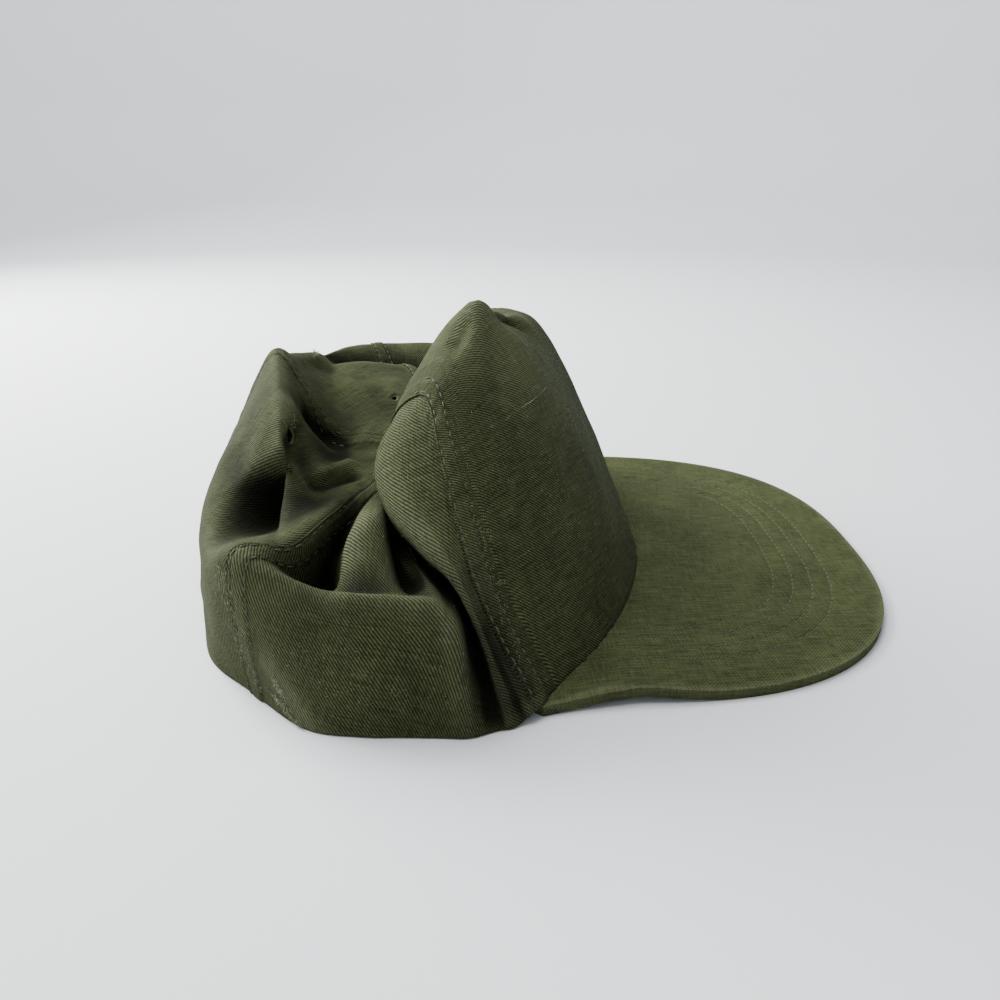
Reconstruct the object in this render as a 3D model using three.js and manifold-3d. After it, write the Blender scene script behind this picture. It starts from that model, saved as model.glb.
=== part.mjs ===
import * as THREE from "three";
import { mergeVertices } from "three/addons/utils/BufferGeometryUtils.js";
import Module from "manifold-3d";

// A patrol cap lying on a surface with its crown fallen in. Sizes are in millimetres.
// The peak points along +X, the wearer's left is +Y, up is +Z and the surface is z = 0.

const CLOTH = 1.5;
const PIECE_GAP = 0.3;
const SEAM_GAP = 0.35;
const PEAK_THICKNESS = 3;
const PEAK_BEVEL = 0.7;
const PEAK_BEVEL_SEGMENTS = 2;
const FRONT_RIM = PEAK_THICKNESS + PIECE_GAP;

// The peak's outer edge is half a superellipse, and its inner edge lies under the front panel
const PEAK_ROOT_X = 20;
const PEAK_DEPTH = 101;
const PEAK_HALF_WIDTH = 94.4;
const PEAK_EDGE_POWER = 0.76;
const PEAK_HORN = { x: 4, y: 100.5 };
const PEAK_MARGIN = { x: 35, y: 96, sweep: 38, power: 1.8 };
const PEAK_EDGE_STEPS = 48;
const PEAK_MARGIN_STEPS = 20;

// Each section runs from the rim up the outside, over the ridge and down into the hollow top
const STATIONS = ["rim", "wall", "brow", "ridge", "lip", "trough", "floor"];
const CROWN_CENTRE = [-28, 0, 46];
const SECTIONS = [
  { name: "front centre", rim: [41, 0, FRONT_RIM], wall: [35, 0, 17], brow: [18, 4, 54],
    ridge: [-2, 3, 86], lip: [-15, 1, 80], trough: [-20, -2, 66], floor: [-25, -3, 52] },
  { name: "front right 1", rim: [35, -37, FRONT_RIM], wall: [18, -38, 42], brow: [3, -33, 76],
    ridge: [-10, -14, 93], lip: [-19, -16, 82], trough: [-24, -15, 67], floor: [-26, -9, 53] },
  { name: "front right 2", rim: [22, -70, FRONT_RIM], wall: [4, -68, 38], brow: [-9, -56, 71],
    ridge: [-16, -31, 96], lip: [-29, -28, 82], trough: [-31, -25, 67], floor: [-28, -14, 53] },
  { name: "front right 3", rim: [10, -89, FRONT_RIM], wall: [-6, -83, 35], brow: [-17, -68, 66],
    ridge: [-24, -46, 85], lip: [-36, -40, 74], trough: [-36, -34, 62], floor: [-29, -19, 52] },
  { name: "front right seam", rim: [2, -102, FRONT_RIM], wall: [-14, -93, 34], brow: [-23, -75, 60],
    ridge: [-29, -58, 75], lip: [-39, -50, 67], trough: [-40, -41, 58], floor: [-31, -23, 51] },
  { name: "side fold", rim: [-1, -104, 1], wall: [-15, -96, 34], brow: [-25, -83, 51],
    ridge: [-36, -67, 64], lip: [-43, -55, 60], trough: [-42, -44, 55], floor: [-33, -26, 49] },
  { name: "side fold edge", rim: [-4, -106, 0], wall: [-17, -97, 33], brow: [-27, -90, 43],
    ridge: [-37, -79, 50], lip: [-43, -65, 54], trough: [-42, -48, 51], floor: [-34, -29, 47] },
  { name: "crease", rim: [-8, -107, 0], wall: [-17, -84, 22], brow: [-27, -76, 30],
    ridge: [-35, -70, 36], lip: [-40, -62, 39], trough: [-38, -50, 41], floor: [-35, -30, 44] },
  { name: "wall corner", rim: [-15, -110, 0], wall: [-17, -105, 26], brow: [-21, -98, 32],
    ridge: [-26, -91, 34], lip: [-30, -84, 33], trough: [-37, -69, 35], floor: [-38, -42, 42] },
  { name: "cleft", rim: [-23, -110, 0], wall: [-25, -107, 17], brow: [-26, -101, 34],
    ridge: [-30, -93, 32], lip: [-34, -82, 28], trough: [-39, -69, 37], floor: [-40, -44, 42] },
  { name: "tongue front", rim: [-32, -110, 0], wall: [-33, -107, 18], brow: [-33, -101, 34.5],
    ridge: [-35, -95, 34], lip: [-37.5, -87, 38.5], trough: [-40, -75, 46], floor: [-42, -50, 45] },
  { name: "tongue rear", rim: [-43, -110, 0], wall: [-44, -107, 18], brow: [-44, -101, 35.5],
    ridge: [-46, -95, 34], lip: [-48, -87, 39.5], trough: [-47, -78, 45.5], floor: [-44.5, -57, 45.5] },
  { name: "pocket", rim: [-58, -107, 0], wall: [-58, -104, 19], brow: [-55, -99, 35],
    ridge: [-57, -92, 34], lip: [-56, -80, 20], trough: [-54, -71, 32], floor: [-46, -54, 43] },
  { name: "rear right seam", rim: [-76, -92, 0], wall: [-77, -95, 28], brow: [-77, -93, 42],
    ridge: [-73, -88, 44], lip: [-64, -83, 41], trough: [-56, -70, 44], floor: [-49, -48, 44] },
  { name: "rear right 1", rim: [-93, -76, 0], wall: [-91, -78, 20], brow: [-87, -78.5, 39],
    ridge: [-73.5, -57, 36], lip: [-69.5, -69, 43], trough: [-59, -59, 44.5], floor: [-51, -40, 45] },
  { name: "rear right 2", rim: [-104, -50, 0], wall: [-101, -52, 25], brow: [-95, -54, 45],
    ridge: [-73, -55, 59], lip: [-69.5, -50, 55], trough: [-62, -42, 47], floor: [-54, -28, 45] },
  { name: "rear right 3", rim: [-114, -26, 0], wall: [-108, -26, 30], brow: [-94, -28, 55],
    ridge: [-79, -28, 69], lip: [-73.5, -19, 58], trough: [-65.5, -13, 45], floor: [-55, -14, 44] },
  { name: "centre back seam", rim: [-118, 0, 0], wall: [-111, 0, 31], brow: [-99, 2, 56],
    ridge: [-88, 4, 74], lip: [-79, 2, 65], trough: [-68, -4, 50], floor: [-55, -4, 46] },
  { name: "rear left 1", rim: [-115, 28, 0], wall: [-113, 28, 30], brow: [-103, 28, 57],
    ridge: [-90, 26, 68], lip: [-80, 22, 61], trough: [-68, 12, 51], floor: [-54, 6, 47] },
  { name: "rear left 2", rim: [-102, 58, 0], wall: [-103, 58, 29], brow: [-96, 56, 52],
    ridge: [-82, 54, 63], lip: [-77, 46, 58], trough: [-68, 36, 58], floor: [-50, 14, 47] },
  { name: "rear left seam", rim: [-76, 88, 0], wall: [-74, 92, 30], brow: [-69, 89, 50],
    ridge: [-68, 80, 60], lip: [-60, 66, 54], trough: [-48, 52, 54], floor: [-42, 26, 49] },
  { name: "left 1", rim: [-47, 104, 0], wall: [-47, 106, 28], brow: [-47, 99, 48], ridge: [-52, 88, 59],
    lip: [-47, 72, 53], trough: [-44, 60, 53], floor: [-38, 32, 51] },
  { name: "left 2", rim: [-19, 110, 0], wall: [-20, 108, 28], brow: [-23, 101, 48], ridge: [-27, 90, 59],
    lip: [-32, 72, 53], trough: [-37, 56, 54], floor: [-34, 26, 51] },
  { name: "front left seam", rim: [2, 102, FRONT_RIM], wall: [-7, 96, 36], brow: [-15, 82, 62],
    ridge: [-22, 66, 74], lip: [-29, 52, 68], trough: [-31, 38, 59], floor: [-30, 20, 51] },
  { name: "front left 2", rim: [22, 70, FRONT_RIM], wall: [12, 66, 38], brow: [0, 55, 70],
    ridge: [-13, 44, 82], lip: [-23, 34, 76], trough: [-26, 26, 64], floor: [-28, 13, 52] },
  { name: "front left 1", rim: [35, 37, FRONT_RIM], wall: [24, 34, 40], brow: [8, 28, 74],
    ridge: [-4, 24, 84], lip: [-17, 16, 79], trough: [-22, 12, 65], floor: [-26, 5, 52] },
];

// Small folds along short lines on the cloth: a height above zero lifts it, below zero dents it
const FOLDS = [
  { name: "hollow in the front's top", from: [-11, -20, 90], to: [-5, -8, 85], radius: 6.5, height: -6 },
  { name: "edge of that hollow", from: [-16, -31, 95], to: [0, -12, 84], radius: 2.5, height: 1.4 },
  { name: "notch beside the front's top", from: [-20, -40, 92], to: [-22, -44, 87], radius: 3, height: -2 },
  { name: "dent in the rear wall", from: [-88, -50, 53], to: [-80, -58, 47], radius: 10, height: -2.5 },
  { name: "pit below the centre back", from: [-71, -13, 54], to: [-67, -11, 49], radius: 5.5, height: -5 },
  { name: "first strip above the right seam", from: [-70, -57, 51], to: [-58, -34, 45], radius: 4, height: 3 },
  { name: "groove below that strip", from: [-69, -63, 47], to: [-56, -44, 45], radius: 3, height: -2 },
  { name: "bump round the far eyelet", from: [-52, 34, 48], to: [-49, 30, 47], radius: 8, height: 3.5 },
  { name: "groove inside the far edge", from: [-80, 52, 59], to: [-50, 72, 54], radius: 7, height: -3 },
  { name: "second ridge", from: [-78, 44, 60], to: [-51, 58, 52], radius: 5, height: 2.5 },
];

// The panels run rightwards round the rim, from one seam to the next
const PANELS = [
  { name: "front_panel", from: "front left seam", to: "front right seam", colour: 0x3f4427 },
  { name: "right_side_panel", from: "front right seam", to: "rear right seam", colour: 0x434829 },
  { name: "right_back_panel", from: "rear right seam", to: "centre back seam", colour: 0x3c4125 },
  { name: "left_back_panel", from: "centre back seam", to: "rear left seam", colour: 0x404528 },
  { name: "left_side_panel", from: "rear left seam", to: "front left seam", colour: 0x3d4226 },
];
const COLUMNS_PER_SECTION = 3;
const ROWS = 28;
const TIP_RADIUS = 1.2;
const TIP_GAP = 1;
const TIP_GAP_FROM = 4.5;
const TIP_UPRIGHT = 4;
const TIP_BLEND = 16;

// A sewn eyelet is a ring of thread in a round hole, placed by section and station
const EYELETS = [
  { name: "right_eyelet", panel: "right_back_panel", section: 15.3, station: 3.75 },
  { name: "left_eyelet", panel: "left_back_panel", section: 19.4, station: 5.75 },
];
const EYELET_RADIUS = 3.4;
const EYELET_HOLE = 1.7;
const EYELET_RISE = 0.5;
const EYELET_SIDES = 20;
const EYELET_COLOUR = 0x585c3a;
const CUTTER_DEPTH = 12;

// The crown as a surface: u counts sections round the rim, v counts stations from the rim inwards
const LAST_STATION = STATIONS.length;
const STEP = 0.02;
const TIP_STEP = 0.002;
const vector = (values) => new THREE.Vector3(...values);
const sectionIndex = (name) => SECTIONS.findIndex((section) => section.name === name);
const smoothCurve = (points, closed) => new THREE.CatmullRomCurve3(points, closed, "catmullrom", 0.5);
const hoops = STATIONS.map((station) => SECTIONS.map((section) => vector(section[station])));
hoops.push(SECTIONS.map(() => vector(CROWN_CENTRE)));
const hoopCurves = hoops.map((points) => smoothCurve(points, true));
const foldLines = FOLDS.map((fold) => new THREE.Line3(vector(fold.from), vector(fold.to)));

function smoothPoint(u, v) {
  const turn = THREE.MathUtils.euclideanModulo(u / SECTIONS.length, 1);
  const sectionCurve = smoothCurve(hoopCurves.map((hoop) => hoop.getPoint(turn)), false);
  const point = sectionCurve.getPoint(v / LAST_STATION);
  return point.setZ(Math.max(point.z, 0));
}

function normalOf(surface, u, v) {
  const low = Math.max(v - STEP, 0);
  const high = Math.min(v + STEP, LAST_STATION);
  const across = surface(u + STEP, v).sub(surface(u - STEP, v));
  const inwards = surface(u, high).sub(surface(u, low));
  return inwards.cross(across).normalize();
}

function clothPoint(u, v) {
  const point = smoothPoint(u, v);
  let height = 0;
  FOLDS.forEach((fold, i) => {
    const nearest = foldLines[i].closestPointToPoint(point, true, new THREE.Vector3());
    height += fold.height * Math.exp(-((nearest.distanceTo(point) / fold.radius) ** 2));
  });
  return point.addScaledVector(normalOf(smoothPoint, u, v), height);
}

// The wall's depth is along the normal: level at the rim, and upright where the tips come together
function clothNormal(u, v) {
  const normal = normalOf(clothPoint, u, v);
  if (v === 0) return normal.setZ(0).normalize();
  const reach = clothPoint(u, v).distanceTo(vector(CROWN_CENTRE));
  const upright = 1 - THREE.MathUtils.smoothstep(reach, TIP_UPRIGHT, TIP_BLEND);
  return normal.lerp(new THREE.Vector3(0, 0, 1), upright).normalize();
}

// The five tips stop at a pinhole round the crown's centre
function tipStation(u) {
  const centre = vector(CROWN_CENTRE);
  let low = LAST_STATION - 1;
  let high = LAST_STATION;
  while (high - low > TIP_STEP) {
    const middle = (low + high) / 2;
    if (clothPoint(u, middle).distanceTo(centre) > TIP_RADIUS) {
      low = middle;
    } else {
      high = middle;
    }
  }
  return low;
}

// Half the gap between neighbours, as a share of a section: it widens where the tips come together
function gapShare(u, v) {
  const span = clothPoint(u + STEP, v).distanceTo(clothPoint(u - STEP, v));
  const nearTip = THREE.MathUtils.smoothstep(v, TIP_GAP_FROM, LAST_STATION);
  const gap = THREE.MathUtils.lerp(SEAM_GAP, TIP_GAP, nearTip);
  return (gap / 2) * (2 * STEP / span);
}

function geometryOf(positions, triangles) {
  const geometry = new THREE.BufferGeometry();
  geometry.setAttribute("position", new THREE.Float32BufferAttribute(positions, 3));
  geometry.setIndex(triangles);
  geometry.computeVertexNormals();
  return geometry;
}

// A panel is a grid of outer points, the same grid one cloth deeper, and a strip round the edge
function panelGeometry(fromSection, toSection) {
  const columns = (toSection - fromSection) * COLUMNS_PER_SECTION;
  const outer = [];
  const inner = [];
  for (let i = 0; i <= columns; i += 1) {
    const share = i / columns;
    const last = tipStation(fromSection + (toSection - fromSection) * share);
    for (let j = 0; j <= ROWS; j += 1) {
      const v = last * (j / ROWS);
      const from = fromSection + gapShare(fromSection, v);
      const to = toSection - gapShare(toSection, v);
      const u = THREE.MathUtils.lerp(from, to, share);
      const point = clothPoint(u, v);
      outer.push(...point);
      inner.push(...point.addScaledVector(clothNormal(u, v), -CLOTH));
    }
  }
  const stride = ROWS + 1;
  const count = (columns + 1) * stride;
  const triangles = [];
  const addQuad = (a, b, c, d) => triangles.push(a, b, c, a, c, d);
  for (let i = 0; i < columns; i += 1) {
    for (let j = 0; j < ROWS; j += 1) {
      const a = i * stride + j;
      const b = a + stride;
      addQuad(a, a + 1, b + 1, b);
      addQuad(count + a, count + b, count + b + 1, count + a + 1);
    }
  }
  const border = [];
  for (let i = 0; i < columns; i += 1) border.push(i * stride);
  for (let j = 0; j < ROWS; j += 1) border.push(columns * stride + j);
  for (let i = columns; i > 0; i -= 1) border.push(i * stride + ROWS);
  for (let j = ROWS; j > 0; j -= 1) border.push(j);
  border.forEach((a, i) => {
    const b = border[(i + 1) % border.length];
    addQuad(a, b, count + b, count + a);
  });
  return geometryOf([...outer, ...inner], triangles);
}

// Joins and cuts
const wasm = await Module();
wasm.setup();

function toSolid(geometry) {
  const bare = geometry.clone();
  bare.deleteAttribute("normal");
  bare.deleteAttribute("uv");
  const merged = mergeVertices(bare);
  const vertProperties = new Float32Array(merged.attributes.position.array);
  const triVerts = new Uint32Array(merged.index.array);
  return new wasm.Manifold(new wasm.Mesh({ numProp: 3, vertProperties, triVerts }));
}

function cut(geometry, cutter) {
  const mesh = toSolid(geometry).subtract(toSolid(cutter)).getMesh();
  return geometryOf([...mesh.vertProperties], [...mesh.triVerts]);
}

// Eyelets stand at right angles to the cloth, at the middle of its thickness
function eyeletMatrix(eyelet) {
  const normal = clothNormal(eyelet.section, eyelet.station);
  const middle = clothPoint(eyelet.section, eyelet.station).addScaledVector(normal, -CLOTH / 2);
  const turn = new THREE.Quaternion().setFromUnitVectors(new THREE.Vector3(0, 1, 0), normal);
  return new THREE.Matrix4().compose(middle, turn, new THREE.Vector3(1, 1, 1));
}

function eyeletCutter(eyelet) {
  const radius = EYELET_RADIUS + PIECE_GAP;
  const cutter = new THREE.CylinderGeometry(radius, radius, CUTTER_DEPTH, EYELET_SIDES);
  return cutter.applyMatrix4(eyeletMatrix(eyelet));
}

function eyeletGeometry() {
  const half = CLOTH / 2 + EYELET_RISE;
  const chamfer = EYELET_RISE;
  const profile = [
    [EYELET_HOLE, half - chamfer],
    [EYELET_HOLE + chamfer, half],
    [EYELET_RADIUS - chamfer, half],
    [EYELET_RADIUS, half - chamfer],
    [EYELET_RADIUS, chamfer - half],
    [EYELET_RADIUS - chamfer, -half],
    [EYELET_HOLE + chamfer, -half],
    [EYELET_HOLE, chamfer - half],
  ].map(([radius, height]) => new THREE.Vector2(radius, height));
  return new THREE.LatheGeometry([...profile.reverse(), profile[0]], EYELET_SIDES);
}

// Peak
function peakShape() {
  const shape = new THREE.Shape();
  shape.moveTo(PEAK_HORN.x, -PEAK_HORN.y);
  for (let i = 0; i <= PEAK_EDGE_STEPS; i += 1) {
    const angle = Math.PI * (i / PEAK_EDGE_STEPS - 0.5);
    const reach = Math.max(Math.cos(angle), 0) ** PEAK_EDGE_POWER;
    const side = Math.sign(angle) * Math.abs(Math.sin(angle)) ** PEAK_EDGE_POWER;
    shape.lineTo(PEAK_ROOT_X + PEAK_DEPTH * reach, PEAK_HALF_WIDTH * side);
  }
  shape.lineTo(PEAK_HORN.x, PEAK_HORN.y);
  for (let i = 0; i <= PEAK_MARGIN_STEPS; i += 1) {
    const share = 1 - 2 * (i / PEAK_MARGIN_STEPS);
    const x = PEAK_MARGIN.x - PEAK_MARGIN.sweep * Math.abs(share) ** PEAK_MARGIN.power;
    shape.lineTo(x, PEAK_MARGIN.y * share);
  }
  return shape;
}

function peakGeometry() {
  const geometry = new THREE.ExtrudeGeometry(peakShape(), {
    depth: PEAK_THICKNESS - 2 * PEAK_BEVEL,
    bevelEnabled: true,
    bevelThickness: PEAK_BEVEL,
    bevelSize: PEAK_BEVEL,
    bevelOffset: -PEAK_BEVEL,
    bevelSegments: PEAK_BEVEL_SEGMENTS,
  });
  return geometry.translate(0, 0, PEAK_BEVEL);
}

// Assembly
const CLOTH_ROUGHNESS = 0.95;
const PEAK_COLOUR = 0x484d2d;
const cap = new THREE.Group();

function addPiece(name, geometry, colour) {
  const material = new THREE.MeshStandardMaterial({ color: colour, roughness: CLOTH_ROUGHNESS });
  const mesh = new THREE.Mesh(geometry, material);
  mesh.name = name;
  cap.add(mesh);
  return mesh;
}

for (const panel of PANELS) {
  const from = sectionIndex(panel.from);
  const to = sectionIndex(panel.to);
  let geometry = panelGeometry(from, to > from ? to : to + SECTIONS.length);
  for (const eyelet of EYELETS.filter((each) => each.panel === panel.name)) {
    geometry = cut(geometry, eyeletCutter(eyelet));
  }
  addPiece(panel.name, geometry, panel.colour);
}

for (const eyelet of EYELETS) {
  addPiece(eyelet.name, eyeletGeometry().applyMatrix4(eyeletMatrix(eyelet)), EYELET_COLOUR);
}

addPiece("peak", peakGeometry(), PEAK_COLOUR);

export default cap;
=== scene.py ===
import math
import random

import bpy
import numpy as np
from mathutils import Matrix, Vector, noise


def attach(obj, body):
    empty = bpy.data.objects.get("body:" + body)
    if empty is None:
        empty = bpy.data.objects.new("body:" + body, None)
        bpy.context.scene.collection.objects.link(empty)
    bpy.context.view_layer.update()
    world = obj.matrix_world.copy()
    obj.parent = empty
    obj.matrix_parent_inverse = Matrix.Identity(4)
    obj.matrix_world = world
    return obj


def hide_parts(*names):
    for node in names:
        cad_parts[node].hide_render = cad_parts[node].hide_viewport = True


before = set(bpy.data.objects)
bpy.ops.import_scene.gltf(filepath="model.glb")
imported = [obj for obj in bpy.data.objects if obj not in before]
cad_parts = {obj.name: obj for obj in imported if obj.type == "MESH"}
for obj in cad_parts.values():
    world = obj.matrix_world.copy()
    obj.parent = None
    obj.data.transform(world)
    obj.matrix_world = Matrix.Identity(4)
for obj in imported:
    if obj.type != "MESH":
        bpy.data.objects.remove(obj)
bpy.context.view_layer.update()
bpy.ops.object.select_all(action="DESELECT")

# Sizes and places are in millimetres. MM turns them into metres where a mesh is made.
MM = 0.001

# Camera
# It stands close to the cap, low at the wearer's right side.
AIM = Vector((-10.0, 22.7, 10.0)) * MM
AZIMUTH = math.radians(1.18)
ELEVATION = math.radians(22.96)
DISTANCE = 326.6 * MM
LENS = 29.52
SENSOR = 36
back = Vector((
    math.sin(AZIMUTH) * math.cos(ELEVATION),
    -math.cos(AZIMUTH) * math.cos(ELEVATION),
    math.sin(ELEVATION),
))
bpy.ops.object.camera_add(location=AIM + back * DISTANCE)
camera = bpy.context.object
camera.name = "camera"
camera.rotation_mode = "QUATERNION"
camera.rotation_quaternion = (-back).to_track_quat("-Z", "Y")
camera.data.lens = LENS
camera.data.sensor_width = SENSOR
camera.data.clip_start = 0.01
bpy.context.scene.camera = camera

# Floor
# A pale sheet that lies flat under the cap and sweeps up far behind it, on every side alike.
FLOOR_RADIUS = 1.1
FLOOR_SWEEP = [(1.4, 0.06), (1.62, 0.24), (1.72, 0.5), (1.76, 0.9)]
FLOOR_COLOUR = (0.68, 0.695, 0.71, 1)
bpy.ops.mesh.primitive_circle_add(vertices=96, radius=FLOOR_RADIUS, fill_type="NGON")
floor = bpy.context.object
floor.name = "floor"
bpy.ops.object.mode_set(mode="EDIT")
bpy.ops.mesh.select_mode(type="EDGE")
bpy.ops.mesh.region_to_loop()
radius_now = FLOOR_RADIUS
height_now = 0
for sweep_radius, sweep_height in FLOOR_SWEEP:
    bpy.ops.mesh.extrude_edges_move()
    bpy.ops.transform.resize(value=(sweep_radius / radius_now, sweep_radius / radius_now, 1))
    bpy.ops.transform.translate(value=(0, 0, sweep_height - height_now))
    radius_now = sweep_radius
    height_now = sweep_height
bpy.ops.object.mode_set(mode="OBJECT")
bpy.ops.object.shade_smooth()
floor_material = bpy.data.materials.new("pale_floor")
floor_material.use_nodes = True
floor_shader = floor_material.node_tree.nodes["Principled BSDF"]
floor_shader.inputs["Base Color"].default_value = FLOOR_COLOUR
floor_shader.inputs["Roughness"].default_value = 0.9
floor_shader.inputs["Specular IOR Level"].default_value = 0.2
floor.data.materials.append(floor_material)

# Light
# Soft daylight all round, one wide lamp to the left of the cap and behind it, a weaker one above, and
# one that lights the sweep of the floor behind. A row is: name, place, what it points at, size, power.
LAMPS = [
    ("side_lamp", Vector((-0.70, 0.38, 0.50)), AIM, 0.5, 25),
    ("top_lamp", Vector((-0.35, 0.05, 0.88)), AIM, 0.7, 12),
    ("backdrop_lamp", Vector((-0.1, 0.7, 1.3)), Vector((-0.1, 1.75, 0.4)), 1.2, 22),
]
SKY_COLOUR = (0.86, 0.9, 0.94, 1)
SKY_STRENGTH = 0.52
world = bpy.data.worlds.new("studio")
world.use_nodes = True
world.node_tree.nodes["Background"].inputs["Color"].default_value = SKY_COLOUR
world.node_tree.nodes["Background"].inputs["Strength"].default_value = SKY_STRENGTH
bpy.context.scene.world = world
for lamp_name, lamp_place, lamp_aim, lamp_size, lamp_power in LAMPS:
    bpy.ops.object.light_add(type="AREA", location=lamp_place)
    lamp = bpy.context.object
    lamp.name = lamp_name
    lamp.data.size = lamp_size
    lamp.data.energy = lamp_power
    lamp.rotation_mode = "QUATERNION"
    lamp.rotation_quaternion = (lamp_aim - lamp_place).to_track_quat("-Z", "Y")

# The crown's form
# Five panels of twill are sewn into one soft shell, which has fallen in. Each section of the shell runs
# from the rim up the outside, over the ridge and down into the hollow top. It has a point at each of the
# stations, and the crown's centre follows the last of them.
CLOTH = 1.5
FRONT_RIM = 3.3
STATIONS = ["rim", "wall", "brow", "ridge", "lip", "trough", "floor"]
CROWN_CENTRE = (-28, 0, 46)
SECTIONS = [
    ("front centre", (41, 0, FRONT_RIM), (35, 0, 17), (18, 4, 54), (-2, 3, 86), (-15, 1, 80),
     (-20, -2, 66), (-25, -3, 52)),
    ("front right 1", (35, -37, FRONT_RIM), (18, -38, 42), (3, -33, 76), (-10, -14, 93), (-19, -16, 82),
     (-24, -15, 67), (-26, -9, 53)),
    ("front right 2", (22, -70, FRONT_RIM), (4, -68, 38), (-9, -56, 71), (-16, -31, 96), (-29, -28, 82),
     (-31, -25, 67), (-28, -14, 53)),
    ("front right 3", (10, -89, FRONT_RIM), (-6, -83, 35), (-17, -68, 66), (-24, -46, 85), (-36, -40, 74),
     (-36, -34, 62), (-29, -19, 52)),
    ("front right seam", (2, -102, FRONT_RIM), (-14, -93, 34), (-23, -75, 60), (-29, -58, 75),
     (-39, -50, 67), (-40, -41, 58), (-31, -23, 51)),
    ("side fold", (-1, -104, 1), (-15, -96, 34), (-25, -83, 51), (-36, -67, 64), (-43, -55, 60),
     (-42, -44, 55), (-33, -26, 49)),
    ("side fold edge", (-4, -106, 0), (-17, -97, 33), (-27, -90, 43), (-37, -79, 50), (-43, -65, 54),
     (-42, -48, 51), (-34, -29, 47)),
    ("crease", (-8, -107, 0), (-17, -84, 22), (-27, -76, 30), (-35, -70, 36),
     (-40, -62, 39), (-38, -50, 41), (-35, -30, 44)),
    ("wall corner", (-15, -110, 0), (-17, -105, 26), (-21, -98, 32), (-26, -91, 34),
     (-30, -84, 33), (-37, -69, 35), (-38, -42, 42)),
    ("cleft", (-23, -110, 0), (-25, -107, 17), (-26, -101, 34), (-30, -93, 32),
     (-34, -82, 28), (-39, -69, 37), (-40, -44, 42)),
    ("tongue front", (-32, -110, 0), (-33, -107, 18), (-33, -101, 34.5), (-35, -95, 34),
     (-37.5, -87, 38.5), (-40, -75, 46), (-42, -50, 45)),
    ("tongue rear", (-43, -110, 0), (-44, -107, 18), (-44, -101, 35.5), (-46, -95, 34),
     (-48, -87, 39.5), (-47, -78, 45.5), (-44.5, -57, 45.5)),
    ("pocket", (-58, -107, 0), (-58, -104, 19), (-55, -99, 35), (-57, -92, 34),
     (-56, -80, 20), (-54, -71, 32), (-46, -54, 43)),
    ("rear right seam", (-76, -92, 0), (-77, -95, 28), (-77, -93, 42), (-73, -88, 44), (-64, -83, 41),
     (-56, -70, 44), (-49, -48, 44)),
    ("rear right 1", (-93, -76, 0), (-91, -78, 20), (-87, -78.5, 39), (-73.5, -57, 36),
     (-69.5, -69, 43), (-59, -59, 44.5), (-51, -40, 45)),
    ("rear right 2", (-104, -50, 0), (-101, -52, 25), (-95, -54, 45), (-73, -55, 59),
     (-69.5, -50, 55), (-62, -42, 47), (-54, -28, 45)),
    ("rear right 3", (-114, -26, 0), (-108, -26, 30), (-94, -28, 55), (-79, -28, 69),
     (-73.5, -19, 58), (-65.5, -13, 45), (-55, -14, 44)),
    ("centre back seam", (-118, 0, 0), (-111, 0, 31), (-99, 2, 56), (-88, 4, 74), (-79, 2, 65),
     (-68, -4, 50), (-55, -4, 46)),
    ("rear left 1", (-115, 28, 0), (-113, 28, 30), (-103, 28, 57), (-90, 26, 68), (-80, 22, 61),
     (-68, 12, 51), (-54, 6, 47)),
    ("rear left 2", (-102, 58, 0), (-103, 58, 29), (-96, 56, 52), (-82, 54, 63), (-77, 46, 58),
     (-68, 36, 58), (-50, 14, 47)),
    ("rear left seam", (-76, 88, 0), (-74, 92, 30), (-69, 89, 50), (-68, 80, 60), (-60, 66, 54),
     (-48, 52, 54), (-42, 26, 49)),
    ("left 1", (-47, 104, 0), (-47, 106, 28), (-47, 99, 48), (-52, 88, 59), (-47, 72, 53),
     (-44, 60, 53), (-38, 32, 51)),
    ("left 2", (-19, 110, 0), (-20, 108, 28), (-23, 101, 48), (-27, 90, 59), (-32, 72, 53),
     (-37, 56, 54), (-34, 26, 51)),
    ("front left seam", (2, 102, FRONT_RIM), (-7, 96, 36), (-15, 82, 62), (-22, 66, 74), (-29, 52, 68),
     (-31, 38, 59), (-30, 20, 51)),
    ("front left 2", (22, 70, FRONT_RIM), (12, 66, 38), (0, 55, 70), (-13, 44, 82), (-23, 34, 76),
     (-26, 26, 64), (-28, 13, 52)),
    ("front left 1", (35, 37, FRONT_RIM), (24, 34, 40), (8, 28, 74), (-4, 24, 84), (-17, 16, 79),
     (-22, 12, 65), (-26, 5, 52)),
]

# Small folds lie along short lines on the cloth. A row is: what it is, from, to, radius, height or depth.
FOLDS = [
    ("hollow in the front's top", (-11, -20, 90), (-5, -8, 85), 6.5, -6),
    ("edge of that hollow", (-16, -31, 95), (0, -12, 84), 2.5, 1.4),
    ("notch beside the front's top", (-20, -40, 92), (-22, -44, 87), 3, -2),
    ("dent in the rear wall", (-89, -50, 53), (-84, -57, 47), 9, -2.5),
    ("pit below the centre back", (-71, -13, 54), (-67, -11, 49), 5.5, -5),
    ("first strip above the right seam", (-62, -46, 47), (-57, -34, 45), 4, 2.6),
    ("groove below that strip", (-63, -53, 46), (-55, -42, 45), 3, -2),
    ("bump round the far eyelet", (-52, 34, 48), (-49, 30, 47), 8, 3.5),
    ("groove inside the far edge", (-80, 52, 59), (-50, 72, 54), 7, -3),
    ("second ridge", (-78, 44, 60), (-51, 58, 52), 5, 2.5),
    ("swelling behind the right eyelet", (-74, -34, 62), (-70, -33, 59), 6, 2.2),
    ("dip before the right eyelet", (-72.5, -49.5, 58.5), (-70, -48, 56.5), 5.5, -1.8),
]
SECTION_NAMES = [row[0] for row in SECTIONS]
HOOPS = np.array([[*row[1:], CROWN_CENTRE] for row in SECTIONS], float)
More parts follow.
